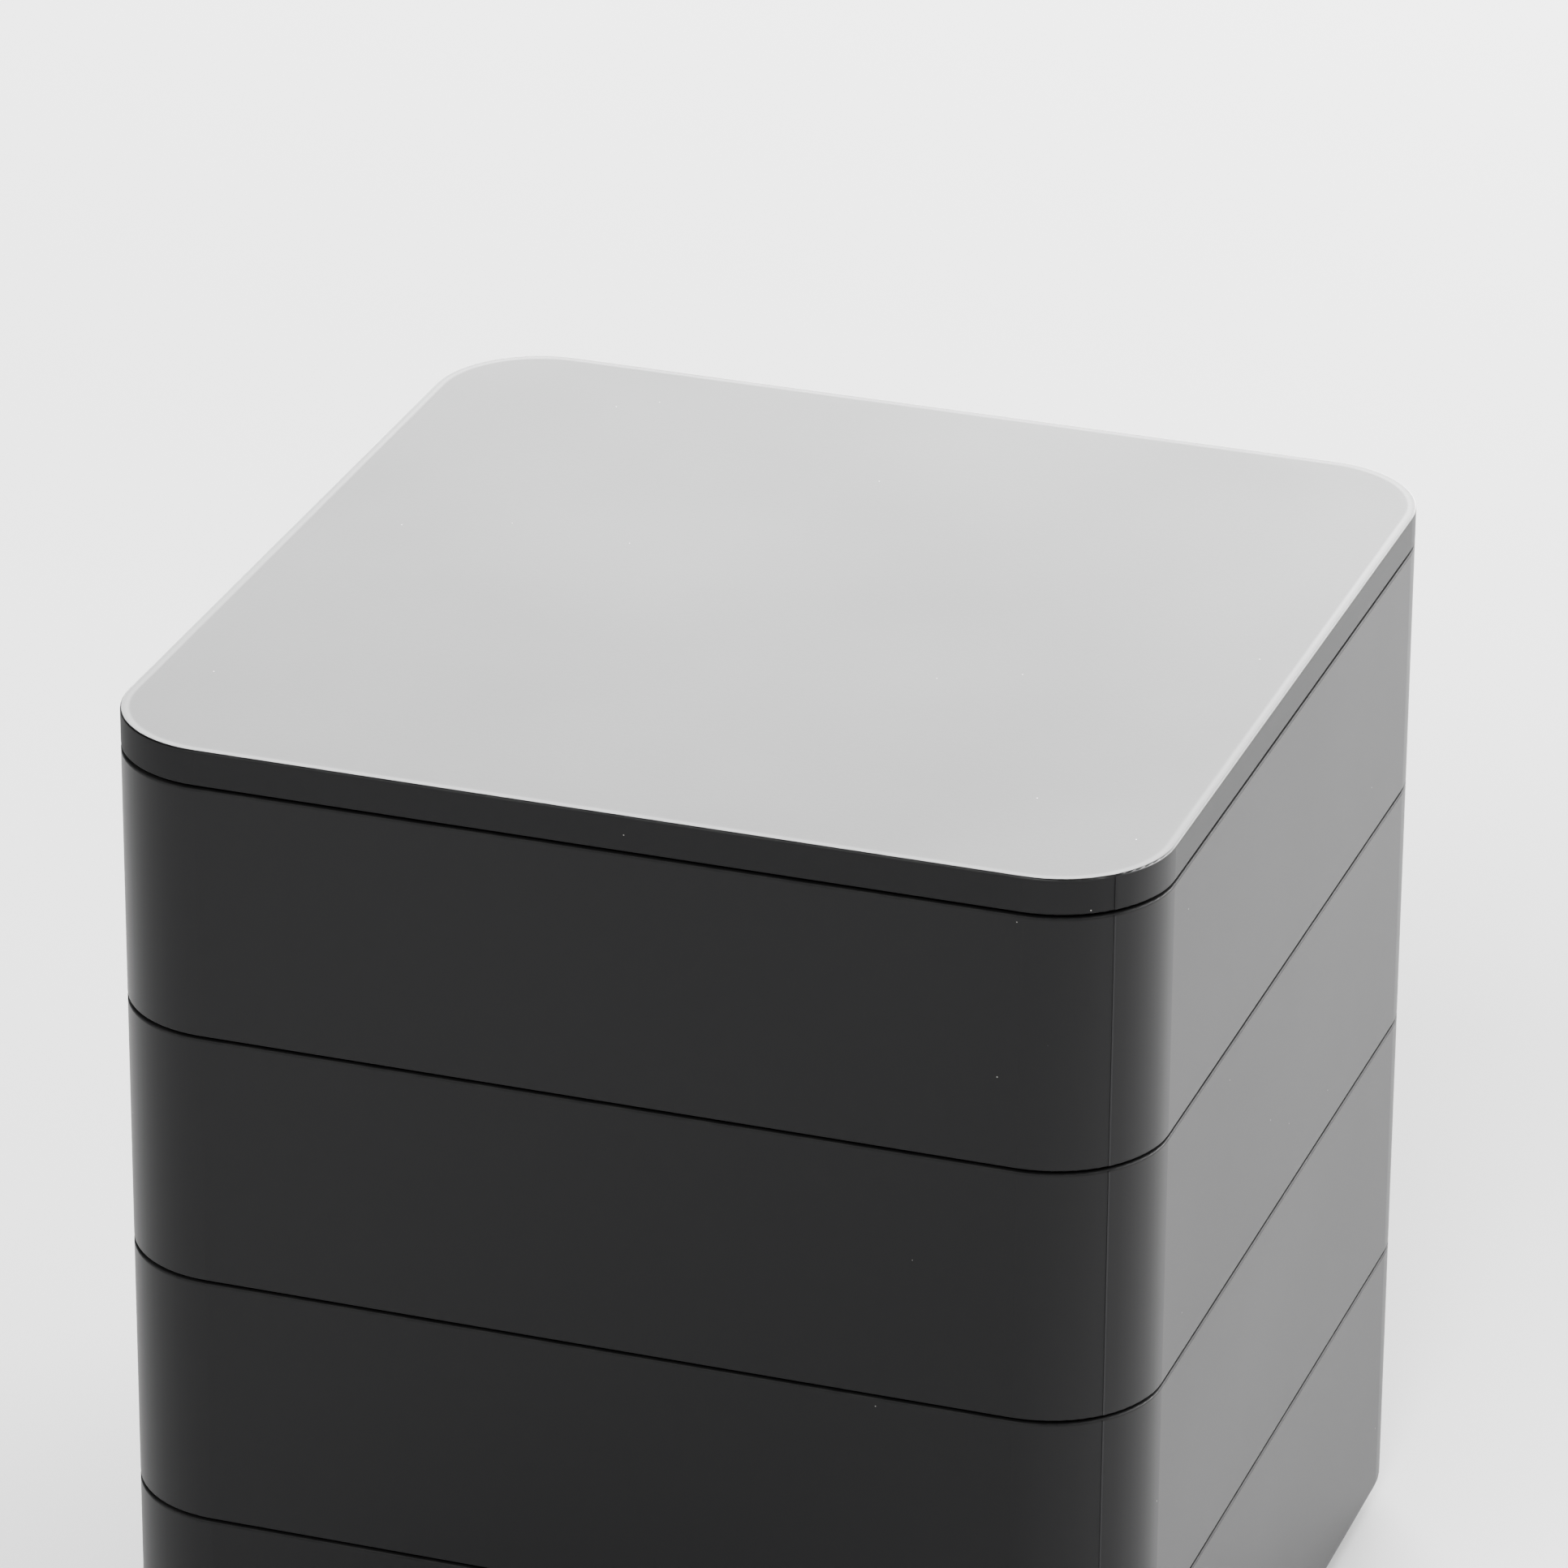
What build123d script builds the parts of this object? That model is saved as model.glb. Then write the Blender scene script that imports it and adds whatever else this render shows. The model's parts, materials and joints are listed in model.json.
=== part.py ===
"""Swivel tray box: a lid and three trays that turn about one corner shaft, above a fixed base tray.

Millimetres. +Z is up, -Y is the front, and the origin is under the middle of the box, on the surface
that its feet stand on. The shaft stands in the back right corner, on the centre of that corner's
rounding, so every tier sweeps the same arc when it turns. Heights in the code count from the origin,
and a profile's points are (radius from the shaft, height).
"""

import os

from build123d import *

# Outline, shared by the lid and every tray
width = 120.0
depth = 120.0
corner_radius = 13.0

# Stack, from the feet up
foot_proud = 1.8
skirt_depth = 2.65
tray_height = 29.95
seam_gap = 0.35
lid_thickness = 4.2
upper_tray_count = 3

# Tray moulding
wall = 2.0
tray_floor = 2.2
rim_outer_round = 0.15
rim_inner_round = 0.5
base_round = 0.15
skirt_round = 1.5
cavity_round = 1.5

# Lid moulding
lid_wall = 2.0
lid_skin = 2.0
lid_round = 0.2
lid_rib_count = 3

# Stiffening ribs under the lid and under the base tray
rib_thickness = 1.2
rib_relief = 0.6
base_rib_count = 2

# Shaft's bearings: each piece ends in a spigot that turns in the socket of the piece below
shaft_radius = 3.0
bore_clearance = 0.08
spigot_radius = 6.0
spigot_clearance = 0.1
spigot_chamfer = 0.3
socket_depth = 6.0
socket_chamfer = 0.4
washer_thickness = 1.0
washer_clearance = 0.2
washer_chamfer = 0.15

# Boss that carries the socket, and the ribs that tie it to the walls
boss_wall = 1.9
boss_flare = 1.0
boss_rib = 1.6
boss_rib_relief = 3.0

# Bolt and its threaded insert
head_radius = 5.0
head_height = 3.0
head_chamfer = 0.4
hex_across_flats = 4.0
hex_depth = 2.0
thread_radius = 2.5
thread_length = 7.0
thread_clearance = 0.05
thread_relief_radius = 2.1
thread_relief_length = 0.8
thread_chamfer = 0.5
insert_wall = 1.45
insert_length = 7.5
insert_groove_depth = 0.4
insert_groove_width = 0.9
insert_clearance = 0.05

# Disc spring and pocket under the base tray
spring_thickness = 0.6
spring_cone = 0.5
spring_flat = 0.3
spring_bore_clearance = 0.1
spring_overhang = 0.6
pocket_clearance = 0.3

# Feet
foot_land = 0.6
foot_recess = 0.8
foot_clearance = 0.1
foot_round = 0.4
foot_pad_wall = 1.2

# Marks that moulding leaves
parting_width = 0.2
parting_height = 0.06
ejector_radius = 2.5
ejector_depth = 0.15
ejector_inset = 24.0
gate_radius = 4.0
gate_depth = 0.5
gate_stub_radius = 1.0
gate_stub_height = 0.3

# Places that follow from the sizes above
shaft_x = width / 2 - corner_radius
shaft_y = depth / 2 - corner_radius
shaft_axis = Axis((shaft_x, shaft_y, 0), (0, 0, 1))
shaft_plane = Plane(origin=(shaft_x, shaft_y, 0), x_dir=(1, 0, 0), z_dir=(0, -1, 0))
corners = {"front_left": (-1, -1), "front_right": (1, -1), "back_left": (-1, 1), "back_right": (1, 1)}

bore_radius = shaft_radius + bore_clearance
socket_radius = spigot_radius + spigot_clearance
boss_radius = socket_radius + boss_wall
spigot_length = seam_gap + socket_depth - washer_thickness
insert_radius = thread_radius + thread_clearance + insert_wall
spring_inner = shaft_radius + spring_bore_clearance
spring_outer = head_radius + spring_overhang
pocket_radius = spring_outer + pocket_clearance
foot_radius = pocket_radius + foot_land

base_z = foot_proud
base_floor_z = base_z + skirt_depth
tray_pitch = tray_height + seam_gap
lid_z = base_floor_z + (upper_tray_count + 1) * tray_pitch
lid_top_z = lid_z + lid_thickness
shoulder_z = lid_z - spigot_length

foot_seat_z = base_z + foot_recess
head_z = foot_seat_z + pocket_clearance
spring_z = head_z + head_height
spring_top_z = spring_z + spring_cone + spring_thickness
pocket_top_z = spring_top_z + washer_thickness


# Solids that the mouldings are made of


def block(bottom, top, inset, mode=Mode.ADD):
    """The box's rounded square, pulled in by an inset, as a prism."""
    with BuildSketch(Plane.XY.offset(bottom)) as plan:
        RectangleRounded(width - 2 * inset, depth - 2 * inset, corner_radius - inset)
    extrude(plan.sketch, amount=top - bottom, mode=mode)


def discs(places, radius, bottom, top, mode=Mode.ADD):
    """An upright disc at each place."""
    with BuildSketch(Plane.XY.offset(bottom)) as plan:
        with Locations(*places):
            Circle(radius)
    extrude(plan.sketch, amount=top - bottom, mode=mode)


def turned(points, mode=Mode.ADD):
    """The ring that a closed profile sweeps round the shaft."""
    with BuildSketch(shaft_plane) as section:
        with BuildLine():
            Polyline(*points, close=True)
        make_face()
    revolve(section.sketch, axis=shaft_axis, mode=mode)


def plain_ring(inner, outer, bottom, top, chamfer_size):
    """A washer round the shaft, its four edges broken."""
    turned([
        (inner + chamfer_size, bottom),
        (outer - chamfer_size, bottom),
        (outer, bottom + chamfer_size),
        (outer, top - chamfer_size),
        (outer - chamfer_size, top),
        (inner + chamfer_size, top),
        (inner, top - chamfer_size),
        (inner, bottom + chamfer_size),
    ])


def edges_at(part, height):
    """The edges that lie flat at one height."""
    return part.edges().filter_by_position(Axis.Z, height - 0.001, height + 0.001)


def rib_grid(bottom, top, inset, count):
    """Ribs that cross under a flat panel, as many each way, and end in the skirt round it."""
    with BuildSketch(Plane.XY.offset(bottom)) as plan:
        with GridLocations(0, (depth - 2 * inset) / (count + 1), 1, count):
            Rectangle(width - inset, rib_thickness)
        with GridLocations((width - 2 * inset) / (count + 1), 0, count, 1):
            Rectangle(rib_thickness, depth - inset)
    extrude(plan.sketch, amount=top - bottom)


def parting_lines(bottom, top):
    """The fine ridges that the mould's two halves leave down the corners where they meet."""
    reach = corner_radius * 0.5**0.5
    with BuildSketch(Plane.XY.offset(bottom)) as plan:
        for sign_x, sign_y in (corners["front_right"], corners["back_left"]):
            corner = Location((sign_x * (shaft_x + reach), sign_y * (shaft_y + reach)), 45 * sign_x * sign_y)
            with Locations(corner):
                Rectangle(2 * parting_height, parting_width)
    extrude(plan.sketch, amount=top - bottom)


def ejector_marks(height, into):
    """The shallow circles that the ejector pins leave, sunk up (1) or down (-1) from a face."""
    with BuildSketch(Plane.XY.offset(height)) as plan:
        with GridLocations(width - 2 * ejector_inset, depth - 2 * ejector_inset, 2, 2):
            Circle(ejector_radius)
    extrude(plan.sketch, amount=into * ejector_depth, mode=Mode.SUBTRACT)


def gate_mark(bottom):
    """The dimple under a tray with the trimmed stub of its gate."""
    discs([(0, 0)], gate_radius, bottom, bottom + gate_depth, Mode.SUBTRACT)
    discs([(0, 0)], gate_stub_radius, bottom + gate_depth - gate_stub_height, bottom + gate_depth)


def boss(floor, rim):
    """The flared post round the shaft, and its three ribs to the walls of the corner."""
    with BuildSketch(shaft_plane) as section:
        with BuildLine():
            flare = RadiusArc(
                (boss_radius + boss_flare, floor), (boss_radius, floor + boss_flare), boss_flare
            )
            Polyline(flare @ 1, (boss_radius, rim), (0, rim), (0, floor), flare @ 0)
        make_face()
    revolve(section.sketch, axis=shaft_axis)
    rib_reach = corner_radius - wall / 2
    with BuildSketch(Plane.XY.offset(floor)) as plan:
        with Locations((shaft_x, shaft_y)):
            with PolarLocations(0, 3, 0, 90, endpoint=True):
                Rectangle(rib_reach, boss_rib, align=(Align.MIN, Align.CENTER))
    extrude(plan.sketch, amount=rim - boss_rib_relief - floor)


def socket(rim):
    """The chamfered recess in a boss's top that takes the washer and the spigot above."""
    turned([
        (0, rim - socket_depth),
        (socket_radius, rim - socket_depth),
        (socket_radius, rim - socket_chamfer),
        (socket_radius + socket_chamfer, rim),
        (0, rim),
    ], Mode.SUBTRACT)


def spigot(underside):
    """The stub under a lid or an upper tray, which seats on the washer below."""
    end = underside - spigot_length
    turned([
        (0, end),
        (spigot_radius - spigot_chamfer, end),
        (spigot_radius, end + spigot_chamfer),
        (spigot_radius, underside),
        (0, underside),
    ])


def tray_shell(tray, bottom, skirt, lower_round):
    """What every tray shares: the open box, its boss and socket, and its moulding marks."""
    rim = bottom + tray_height
    floor = bottom + tray_floor
    block(bottom - skirt, rim, 0)
    fillet(edges_at(tray, rim), rim_outer_round)
    fillet(edges_at(tray, bottom - skirt), lower_round)
    if skirt > 0:
        block(bottom - skirt, bottom, wall, Mode.SUBTRACT)
    block(floor, rim, wall, Mode.SUBTRACT)
    fillet(tray.faces().sort_by(Axis.Z)[-1].inner_wires()[0].edges(), rim_inner_round)
    fillet(edges_at(tray, floor), cavity_round)
    parting_lines(bottom - skirt + lower_round, rim - rim_outer_round)
    boss(floor, rim)
    socket(rim)
    ejector_marks(floor, -1)
    gate_mark(bottom)


def washer(label, seat):
    """The ring that a spigot rides on, lying in its socket."""
    with BuildPart() as ring:
        plain_ring(shaft_radius + washer_clearance, spigot_radius - washer_clearance,
                   seat, seat + washer_thickness, washer_chamfer)
    ring.part.label = label
    return ring.part


os.makedirs("parts", exist_ok=True)

# Base tray: the fixed tier. A skirt round its ribbed underside makes room for the foot pads, and the
# pad under the shaft holds the bolt's pocket.

with BuildPart() as base_tray:
    tray_shell(base_tray, base_floor_z, skirt_depth, skirt_round)
    rib_grid(base_z + rib_relief, base_floor_z, wall, base_rib_count)
    foot_places = [(sign_x * shaft_x, sign_y * shaft_y) for sign_x, sign_y in corners.values()]
    discs(foot_places, foot_radius + foot_clearance + foot_pad_wall, base_z, base_floor_z)
    discs(foot_places, foot_radius + foot_clearance, base_z, foot_seat_z, Mode.SUBTRACT)
    discs([(shaft_x, shaft_y)], pocket_radius, foot_seat_z, pocket_top_z, Mode.SUBTRACT)
    discs([(shaft_x, shaft_y)], bore_radius, base_z, base_floor_z + tray_height, Mode.SUBTRACT)
base_tray.part.label = "base_tray"
export_step(base_tray.part, "parts/base_tray.step")

# Upper trays, counted from the top, each on its own washer in the socket below

for count in range(1, upper_tray_count + 1):
    tray_z = lid_z - count * tray_pitch
    with BuildPart() as upper_tray:
        tray_shell(upper_tray, tray_z, 0, base_round)
        spigot(tray_z)
        discs([(shaft_x, shaft_y)], bore_radius, tray_z - spigot_length, tray_z + tray_height, Mode.SUBTRACT)
    upper_tray.part.label = f"tray_{count}"
    export_step(upper_tray.part, f"parts/tray_{count}.step")

for count in range(1, upper_tray_count + 2):
    rim_z = lid_z - (count - 1) * tray_pitch - seam_gap
    thrust_washer = washer(f"thrust_washer_{count}", rim_z - socket_depth)
    export_step(thrust_washer, f"parts/thrust_washer_{count}.step")

# Lid: a thin skin with a skirt, stiffened by ribs, and a spigot that holds the threaded insert

with BuildPart() as lid:
    lid_ceiling_z = lid_top_z - lid_skin
    block(lid_z, lid_top_z, 0)
    fillet(edges_at(lid, lid_top_z), lid_round)
    fillet(edges_at(lid, lid_z), lid_round)
    block(lid_z, lid_ceiling_z, lid_wall, Mode.SUBTRACT)
    parting_lines(lid_z + lid_round, lid_top_z - lid_round)
    rib_grid(lid_z + rib_relief, lid_ceiling_z, lid_wall, lid_rib_count)
    discs([(shaft_x, shaft_y)], boss_radius, lid_z + rib_relief, lid_ceiling_z)
    ejector_marks(lid_ceiling_z, 1)
    spigot(lid_z)
    discs([(shaft_x, shaft_y)], spigot_radius, lid_z, lid_ceiling_z)
    discs([(shaft_x, shaft_y)], insert_radius + insert_clearance, shoulder_z, shoulder_z + insert_length,
          Mode.SUBTRACT)
lid.part.label = "lid"
export_step(lid.part, "parts/lid.step")

with BuildPart() as lid_insert:
    inner_radius = thread_radius + thread_clearance
    groove_step = insert_length / 3
    turned([
        (inner_radius, shoulder_z),
        (insert_radius, shoulder_z),
        (insert_radius, shoulder_z + insert_length),
        (inner_radius, shoulder_z + insert_length),
    ])
    for groove_z in (shoulder_z + groove_step, shoulder_z + 2 * groove_step):
        turned([
            (insert_radius - insert_groove_depth, groove_z - insert_groove_width / 2),
            (insert_radius, groove_z - insert_groove_width / 2),
            (insert_radius, groove_z + insert_groove_width / 2),
            (insert_radius - insert_groove_depth, groove_z + insert_groove_width / 2),
        ], Mode.SUBTRACT)
lid_insert.part.label = "lid_insert"
export_step(lid_insert.part, "parts/lid_insert.step")

# Pivot bolt: head in the base tray's pocket, shank through every bore, thread in the lid's insert

with BuildPart() as pivot_bolt:
    thread_top_z = shoulder_z + thread_length
    turned([
        (0, head_z),
        (head_radius - head_chamfer, head_z),
        (head_radius, head_z + head_chamfer),
        (head_radius, spring_z),
        (shaft_radius, spring_z),
        (shaft_radius, shoulder_z),
        (thread_relief_radius, shoulder_z),
        (thread_relief_radius, shoulder_z + thread_relief_length),
        (thread_radius, shoulder_z + thread_relief_length),
        (thread_radius, thread_top_z - thread_chamfer),
        (thread_radius - thread_chamfer, thread_top_z),
        (0, thread_top_z),
    ])
    with BuildSketch(Plane.XY.offset(head_z)) as hex_plan:
        with Locations((shaft_x, shaft_y)):
            RegularPolygon(hex_across_flats / 2, 6, major_radius=False)
    extrude(amount=hex_depth, mode=Mode.SUBTRACT)
pivot_bolt.part.label = "pivot_bolt"
export_step(pivot_bolt.part, "parts/pivot_bolt.step")

# Spring stack under the base tray: the disc spring bears on the bolt's head and presses the washer up

with BuildPart() as disc_spring:
    turned([
        (spring_inner, spring_z),
        (spring_inner + spring_flat, spring_z),
        (spring_outer, spring_z + spring_cone),
        (spring_outer, spring_top_z),
        (spring_outer - spring_flat, spring_top_z),
        (spring_inner, spring_z + spring_thickness),
    ])
disc_spring.part.label = "disc_spring"
export_step(disc_spring.part, "parts/disc_spring.step")

with BuildPart() as head_washer:
    plain_ring(shaft_radius + washer_clearance, spring_outer, spring_top_z, pocket_top_z, washer_chamfer)
head_washer.part.label = "head_washer"
export_step(head_washer.part, "parts/head_washer.step")

# Feet: four soft pads, each half sunk in its recess

for corner_name, (sign_x, sign_y) in corners.items():
    with BuildPart() as foot:
        discs([(sign_x * shaft_x, sign_y * shaft_y)], foot_radius, 0, foot_seat_z)
        fillet(edges_at(foot, 0), foot_round)
    foot.part.label = f"foot_{corner_name}"
    export_step(foot.part, f"parts/foot_{corner_name}.step")
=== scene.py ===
"""Swivel tray box in satin black plastic: four trays and a lid that share one corner shaft."""

import json
import math

import bpy
import numpy as np
from mathutils import Matrix, Vector


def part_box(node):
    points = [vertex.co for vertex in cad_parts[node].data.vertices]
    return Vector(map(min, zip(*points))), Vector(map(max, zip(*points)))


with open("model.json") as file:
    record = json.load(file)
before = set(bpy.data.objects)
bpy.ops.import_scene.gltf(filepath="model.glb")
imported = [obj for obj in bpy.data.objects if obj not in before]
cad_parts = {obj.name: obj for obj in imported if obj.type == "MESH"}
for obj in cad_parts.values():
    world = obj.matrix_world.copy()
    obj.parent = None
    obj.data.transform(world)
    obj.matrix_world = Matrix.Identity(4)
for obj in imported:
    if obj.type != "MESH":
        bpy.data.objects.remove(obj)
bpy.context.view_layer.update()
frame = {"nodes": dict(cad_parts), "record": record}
nodes = frame["nodes"]


# Base tray: the fixed bottom tier, injection moulded in black ABS. Its mould is spark eroded, which
# leaves a fine satin grain outside and a coarser one inside. Trimming leaves its rim's edge matt.


class Signal:
    """One value or colour in a material. Arithmetic on it adds the Math nodes that work it out."""

    def __init__(self, tree, socket):
        self.tree = tree
        self.socket = socket

    def node(self, kind, settings, inputs, output=0):
        """Adds a node of one kind, sets it up, feeds its sockets, and gives the named output."""
        made = self.tree.nodes.new(kind)
        for name, value in settings.items():
            setattr(made, name, value)
        for name, value in inputs.items():
            if isinstance(value, Signal):
                self.tree.links.new(value.socket, made.inputs[name])
            else:
                made.inputs[name].default_value = value
        return Signal(self.tree, made.outputs[output])

    def out(self, name):
        """Another output of the node that this signal comes from."""
        return Signal(self.tree, self.socket.node.outputs[name])

    def maths(self, operation, *values):
        return self.node("ShaderNodeMath", {"operation": operation}, dict(enumerate(values)))

    def __add__(self, other):
        return self.maths("ADD", self, other)

    def __radd__(self, other):
        return self.maths("ADD", other, self)

    def __sub__(self, other):
        return self.maths("SUBTRACT", self, other)

    def __rsub__(self, other):
        return self.maths("SUBTRACT", other, self)

    def __mul__(self, other):
        return self.maths("MULTIPLY", self, other)

    def __abs__(self):
        return self.maths("ABSOLUTE", self)

    def larger(self, other):
        return self.maths("MAXIMUM", self, other)

    def wave(self, length):
        """A sine wave of this length along the signal, from -1 to 1."""
        return (self * (math.tau / length)).maths("SINE", self * (math.tau / length))

    def step(self, low, high):
        """Rises smoothly from 0 at low to 1 at high, or falls where high is the smaller."""
        settings = {"interpolation_type": "SMOOTHSTEP"}
        inputs = {"Value": self, "From Min": low, "From Max": high}
        if high < low:
            inputs = {"Value": self, "From Min": high, "From Max": low, "To Min": 1.0, "To Max": 0.0}
        return self.node("ShaderNodeMapRange", settings, inputs)

    def noise(self, size, detail, shift=0.0):
        """Soft random values from 0 to 1 whose lumps are about this size, in metres."""
        moved = self.node("ShaderNodeVectorMath", {"operation": "ADD"}, {0: self, 1: (shift, shift, shift)})
        return self.node("ShaderNodeTexNoise", {}, {"Vector": moved, "Scale": 1 / size, "Detail": detail})

    def between(self, start, end):
        """The colour that lies this share of the way from one colour to another."""
        return self.node("ShaderNodeMix", {"data_type": "RGBA"}, {0: self, 6: start, 7: end}, 2)


def new_material(name):
    """A material with an empty Principled shader, and the piece's own coordinates in metres."""
    material = bpy.data.materials.new(name)
    material.use_nodes = True
    tree = material.node_tree
    shader = tree.nodes["Principled BSDF"]
    place = Signal(tree, tree.nodes.new("ShaderNodeTexCoord").outputs["Object"])
    return material, shader, place


def feed(shader, relief=None, **sockets):
    """Links or sets sockets, their names written with underscores, and makes bumps of a relief in metres."""
    if relief is not None:
        bump = relief.node("ShaderNodeBump", {}, {"Strength": 1.0, "Distance": 1.0, "Height": relief})
        sockets["Normal"] = bump
    for name, value in sockets.items():
        plug = shader.inputs[name.replace("_", " ")]
        if isinstance(value, Signal):
            value.tree.links.new(value.socket, plug)
        else:
            plug.default_value = value


def cover(node, material):
    """Gives a CAD node its material."""
    piece = nodes[node]
    piece.data.materials.clear()
    piece.data.materials.append(material)


shell_black = (0.0140, 0.0140, 0.0146, 1)
scuffed_black = (0.022, 0.022, 0.022, 1)
# The next grey is a painted highlight for the parting line's ridge.
parting_highlight_grey = (0.085, 0.085, 0.088, 1)
dust_grey = (0.42, 0.41, 0.39, 1)
outer_corner = 0.013
wall = 0.002
satin_roughness = 0.40
mottle_roughness = 0.055
inside_roughness = 0.10
grain_relief = 0.0000013
coarse_relief = 0.000005
ripple_relief = 0.000006
speck_cells = 150.0
speck_cover = 0.8


def satin_moulding(node, side_roughness, rim_roughness, parting_highlight_share):
    """Black satin plastic with eroded grain, a trimmed rim, a parting line painted light grey as a
    highlight, and a little dust.
    """
    low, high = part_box(node)
    material, shader, place = new_material(f"{node}_satin_black")
    seed = 7.3 * sorted(nodes).index(node)
    axes = place.node("ShaderNodeSeparateXYZ", {}, {0: place})
    x, y, z = axes, axes.out("Y"), axes.out("Z")

    # Depth below the rounded square's surface, in metres
    past_x = (abs(x) - (high.x - outer_corner)).larger(0)
    past_y = (abs(y) - (high.y - outer_corner)).larger(0)
    from_corner = (past_x * past_x + past_y * past_y).maths("SQRT", past_x * past_x + past_y * past_y)
    depth = outer_corner - from_corner
    inside = depth.step(0.4 * wall, 0.6 * wall)
    side = z.step(high.z - 0.00005, high.z - 0.00030)

    # Marks, with a painted highlight: the parting line is mixed towards a light grey
    patches = place.noise(0.004, 3.0, seed + 5).step(0.30, 0.70)
    rim = z.step(high.z - 0.0004, high.z - 0.0002) * depth.step(0.0007, 0.0004)
    parting_highlight = abs(x + y).step(0.00024, 0.00010) * (1 - inside) * side
    cell_settings = {"Vector": place, "Scale": speck_cells, "Randomness": 1.0}
    cells = place.node("ShaderNodeTexVoronoi", {}, cell_settings)
    speck = cells.step(0.016, 0.008)

    mottle = place.noise(0.045, 3.0, seed) - 0.5
    grain = place.noise(0.00022, 2.0, seed)
    coarse = place.noise(0.00050, 2.0, seed)
    ripple = place.noise(0.030, 1.0, seed + 3)

    colour = (rim * patches).between(shell_black, scuffed_black)
    # Painted highlight: the parting line is mixed towards a light grey.
    colour = (parting_highlight * parting_highlight_share).between(colour, parting_highlight_grey)
    colour = (speck * speck_cover).between(colour, dust_grey)
    duller = side * (side_roughness - satin_roughness)
    trimmed = rim * (rim_roughness - satin_roughness)
    roughness = satin_roughness + duller + trimmed + mottle * mottle_roughness + inside * inside_roughness
    relief = grain * grain_relief + inside * coarse * coarse_relief + ripple * ripple_relief
    feed(shader, relief, Base_Color=colour, Roughness=roughness)
    return material


# The last share sets how strongly the parting line's painted highlight shows.
tray_finish = {"side_roughness": satin_roughness, "rim_roughness": 0.75, "parting_highlight_share": 0.22}
cover("base_tray", satin_moulding("base_tray", **tray_finish))


# Feet: four soft pads moulded in black rubber and glued in the base tray's pads. The face that
# stands on the desk picks up dust and a slight polish.

rubber_black = (0.030, 0.030, 0.030, 1)
rubber_dust = (0.105, 0.100, 0.093, 1)


def moulded_rubber(node):
    """Matt black rubber with a fine grain, and dust where it touches the desk."""
    material, shader, place = new_material(f"{node}_rubber")
    height = place.node("ShaderNodeSeparateXYZ", {}, {0: place}).out("Z")
    tread = height.step(0.0004, 0.0001)
    dust = tread * place.noise(0.0015, 4.0).step(0.35, 0.75)
    colour = (dust * 0.7).between(rubber_black, rubber_dust)
    roughness = 0.78 - tread * 0.10 + dust * 0.12
    relief = place.noise(0.00025, 3.0) * 0.000012
    feed(shader, relief, Base_Color=colour, Roughness=roughness)
    return material


for foot in ("foot_front_left", "foot_front_right", "foot_back_left", "foot_back_right"):
    cover(foot, moulded_rubber(foot))


# Thrust washers: five rings turned from natural white acetal, one in each socket and one above the
# disc spring. The tool leaves fine rings on them, and the grease dulls them in patches.

acetal_white = (0.78, 0.78, 0.75, 1)
greased_acetal = (0.62, 0.59, 0.50, 1)
shaft_x, shaft_y, _ = frame["record"]["behaviour"]["joints"][0]["pos_m"]


def round_shaft(place):
    """A point's distance from the shaft, its bearing round it in radians, and its height."""
    axes = place.node("ShaderNodeSeparateXYZ", {}, {0: place})
    along_x, along_y = axes - shaft_x, axes.out("Y") - shaft_y
    squared = along_x * along_x + along_y * along_y
    return squared.maths("SQRT", squared), along_y.maths("ARCTAN2", along_y, along_x), axes.out("Z")


def turned_acetal(node):
    """White acetal with the rings that turning leaves, and smears of grease."""
    material, shader, place = new_material(f"{node}_acetal")
    radius, _, height = round_shaft(place)
    grease = place.noise(0.0022, 3.0).step(0.45, 0.70)
    colour = (grease * 0.6).between(acetal_white, greased_acetal)
    roughness = 0.42 - grease * 0.20
    relief = radius.wave(0.00016) * 0.0000025 + height.wave(0.00020) * 0.0000015
    feed(shader, relief, Base_Color=colour, Roughness=roughness)
    return material


for ring in ("thrust_washer_4", "thrust_washer_3", "thrust_washer_2", "thrust_washer_1", "head_washer"):
    cover(ring, turned_acetal(ring))


# Upper trays: three swivelling tiers from the same mould finish as the base tray, each seated by its
# spigot on the washer below.

for tray in ("tray_3", "tray_2", "tray_1"):
    cover(tray, satin_moulding(tray, **tray_finish))


# Lid: a thin ribbed moulding with the same satin top. Its narrow sides come from a separate ring of
# the mould with a rougher erosion, so they look duller than the trays' sides.

lid_finish = {"side_roughness": 0.58, "rim_roughness": 0.45, "parting_highlight_share": 0.0}
cover("lid", satin_moulding("lid", **lid_finish))


# Threaded insert: a brass bush, turned and diamond knurled, pressed into the lid's spigot while hot.
# The piece has two turned grooves, and its knurl is only a bump in the material.

brass_bright = (0.80, 0.60, 0.28, 1)
brass_dull = (0.52, 0.37, 0.16, 1)

insert_outer = 0.004
knurl_floor, knurl_crest = 0.00370, 0.00385
knurl_pitch = 0.0006
knurl_relief = 0.00010
turning_relief = 0.0000020

insert_brass, brass_shader, brass_place = new_material("knurled_brass")
insert_radius, insert_bearing, insert_height = round_shaft(brass_place)
around = insert_bearing * insert_outer
knurl = abs((around + insert_height).wave(knurl_pitch)) * abs((around - insert_height).wave(knurl_pitch))
knurled = insert_radius.step(knurl_floor, knurl_crest)
turned_rings = insert_height.wave(0.00018)
tarnish = brass_place.noise(0.0015, 4.0).step(0.40, 0.75)
feed(
    brass_shader,
    knurl * knurled * knurl_relief + turned_rings * turning_relief,
    Base_Color=(tarnish * 0.6).between(brass_bright, brass_dull),
    Roughness=0.24 + tarnish * 0.22,
    Metallic=1.0,
)
cover("lid_insert", insert_brass)


# Disc spring: stamped from spring steel and phosphated, which leaves a dark, faintly crystalline
# skin. It presses the stack together from under the base tray.

phosphate_dark = (0.095, 0.093, 0.090, 1)
phosphate_pale = (0.200, 0.196, 0.186, 1)

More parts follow.
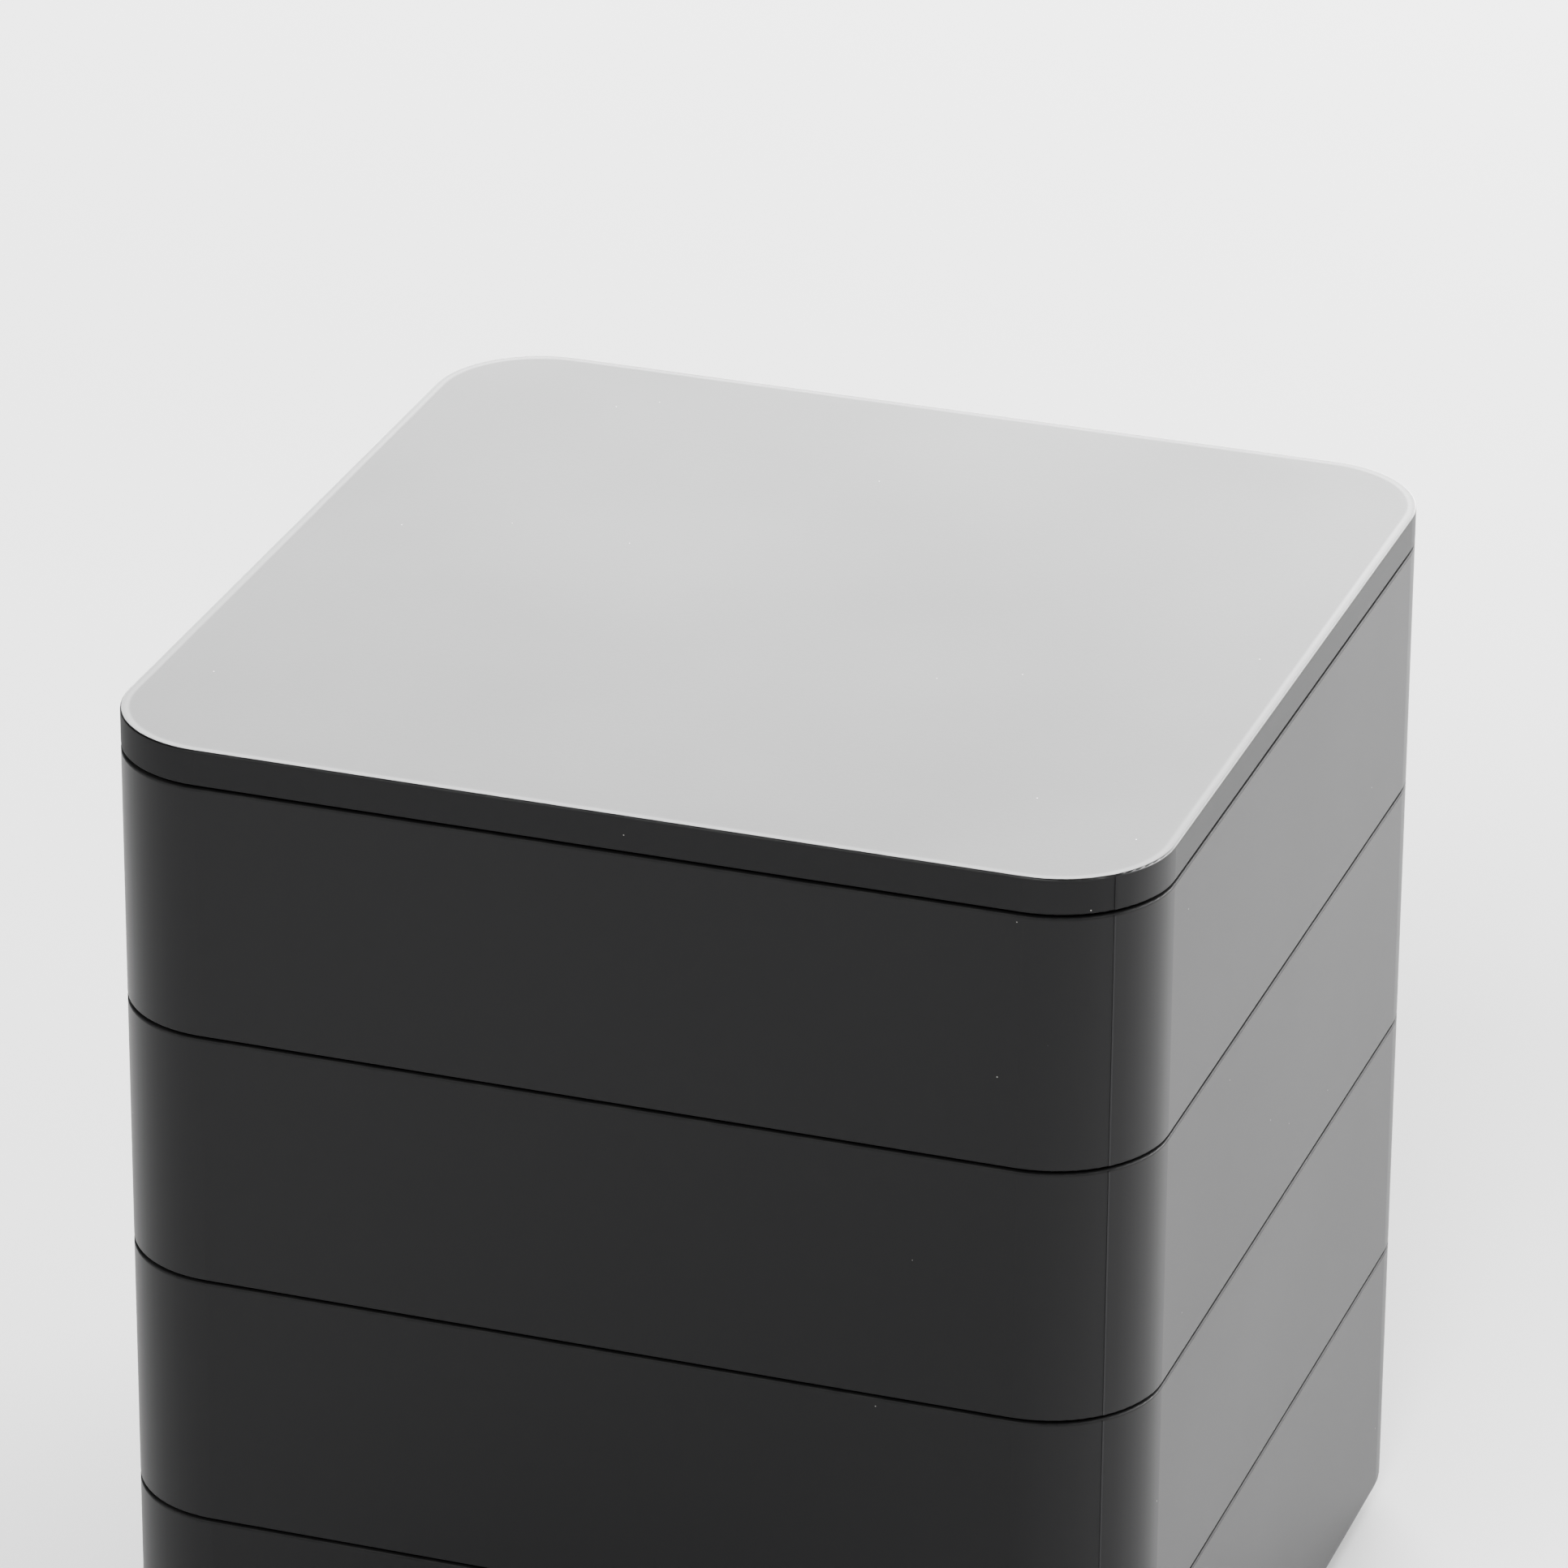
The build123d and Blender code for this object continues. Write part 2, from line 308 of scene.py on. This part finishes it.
spring_skin, spring_shader, spring_place = new_material("phosphated_steel")
crystals = spring_place.noise(0.00012, 3.0)
oil = spring_place.noise(0.0025, 2.0).step(0.40, 0.65)
feed(
    spring_shader,
    crystals * 0.000006,
    Base_Color=crystals.step(0.35, 0.70).between(phosphate_dark, phosphate_pale),
    Roughness=0.55 - oil * 0.18,
    Metallic=0.85,
)
cover("disc_spring", spring_skin)


# Pivot bolt: a turned shoulder screw in zinc plated steel, put in from below and screwed into the
# lid's insert. Its head carries the tool's rings. The piece's end is a plain cylinder, and its M5
# thread is only a bump in the material.

zinc_bright = (0.66, 0.67, 0.70, 1)
zinc_yellow = (0.60, 0.56, 0.44, 1)
thread_length = 0.0070
thread_pitch = 0.0008
runout_start, runout_end = 0.0008, 0.0012
thread_relief = 0.00012
ring_relief = 0.0000015
fine_relief = 0.0000010

zinc_steel, zinc_shader, zinc_place = new_material("zinc_plated_steel")
bolt_radius, bolt_bearing, bolt_height = round_shaft(zinc_place)
thread_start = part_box("pivot_bolt")[1].z - thread_length
threaded = bolt_height.step(thread_start + runout_start, thread_start + runout_end)
helix = (bolt_height + bolt_bearing * (thread_pitch / math.tau)).wave(thread_pitch)
face_rings = bolt_radius.wave(0.00014)
shank_rings = bolt_height.wave(0.00022)
passivation = zinc_place.noise(0.004, 3.0).step(0.40, 0.75)
feed(
    zinc_shader,
    threaded * helix * thread_relief + face_rings * ring_relief + shank_rings * fine_relief,
    Base_Color=(passivation * 0.5).between(zinc_bright, zinc_yellow),
    Roughness=0.26 + passivation * 0.12,
    Metallic=1.0,
)
cover("pivot_bolt", zinc_steel)


# Floor: a wide sheet of pale matt paper that the box stands on, not part of the object.

floor_size = 6.0
floor_mesh = bpy.data.meshes.new("floor")
floor_corners = 0.5 * floor_size * np.array([(-1, -1, 0), (1, -1, 0), (1, 1, 0), (-1, 1, 0)])
floor_mesh.from_pydata(floor_corners.tolist(), [], [(0, 1, 2, 3)])
floor = bpy.data.objects.new("floor", floor_mesh)
bpy.context.scene.collection.objects.link(floor)
paper, paper_shader, _ = new_material("floor_paper")
feed(paper_shader, Base_Color=(0.80, 0.80, 0.80, 1), Roughness=0.9)
floor_mesh.materials.append(paper)


# Light: a row of soft panels curves round behind the box like a low window, and the lid mirrors it.
# Two weaker ones fill the front and the right. Past the floor's edge the dim room itself shows white.

room_glow = 0.02
room_seen = 0.75
world = bpy.data.worlds.new("white_room")
world.use_nodes = True
room = world.node_tree.nodes["Background"]
room.inputs["Color"].default_value = (1.0, 1.0, 1.0, 1)
seen = Signal(world.node_tree, world.node_tree.nodes.new("ShaderNodeLightPath").outputs["Is Camera Ray"])
glow = room_glow + seen * (room_seen - room_glow)
world.node_tree.links.new(glow.socket, room.inputs["Strength"])
bpy.context.scene.world = world

panel_side = 1.15
panel_distance = 2.6
window_elevation = 12
fill_elevation = 38


def soft_panel(name, azimuth, elevation, power):
    """A square lamp that faces the box, from a compass bearing (0 is +Y) and a height in degrees."""
    bearing, rise = math.radians(azimuth), math.radians(elevation)
    lamp = bpy.data.lights.new(name, "AREA")
    lamp.shape = "SQUARE"
    lamp.size, lamp.energy = panel_side, power
    panel = bpy.data.objects.new(name, lamp)
    towards = (math.sin(bearing) * math.cos(rise), math.cos(bearing) * math.cos(rise), math.sin(rise))
    panel.location = [panel_distance * part for part in towards]
    panel.rotation_euler = (math.radians(90 - elevation), 0, math.radians(180) - bearing)
    panel.visible_camera = False
    bpy.context.scene.collection.objects.link(panel)


window_powers = {-25: 92, 0: 113, 25: 64, 50: 63, 75: 18}
for bearing, power in window_powers.items():
    soft_panel(f"window_{bearing}", bearing, window_elevation, power)
soft_panel("front_fill", 180, fill_elevation, 59)
soft_panel("right_fill", 110, fill_elevation, 6)
bpy.context.scene.view_settings.look = "AgX - High Contrast"


# Camera: a long lens at a little over a metre, looking down on the lid and the front right corner.

view_azimuth = math.radians(18.875)
view_elevation = math.radians(24.80)
view_roll = math.radians(0.378)
view_distance = 1.0213
aim_below_lid = 0.0227
aim = np.array((0.0, 0.0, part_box("lid")[1].z - aim_below_lid))
forward = np.array((
    -math.sin(view_azimuth) * math.cos(view_elevation),
    math.cos(view_azimuth) * math.cos(view_elevation),
    -math.sin(view_elevation),
))
lens = bpy.data.cameras.new("camera")
lens.lens = 206.8
lens.sensor_width = 36.0
lens.clip_start = 0.01
camera = bpy.data.objects.new("camera", lens)
bpy.context.scene.collection.objects.link(camera)
camera.location = (aim - view_distance * forward).tolist()
facing = Vector(forward.tolist()).to_track_quat("-Z", "Y").to_matrix()
camera.rotation_euler = (facing @ Matrix.Rotation(view_roll, 3, "Z")).to_euler()
bpy.context.scene.camera = camera
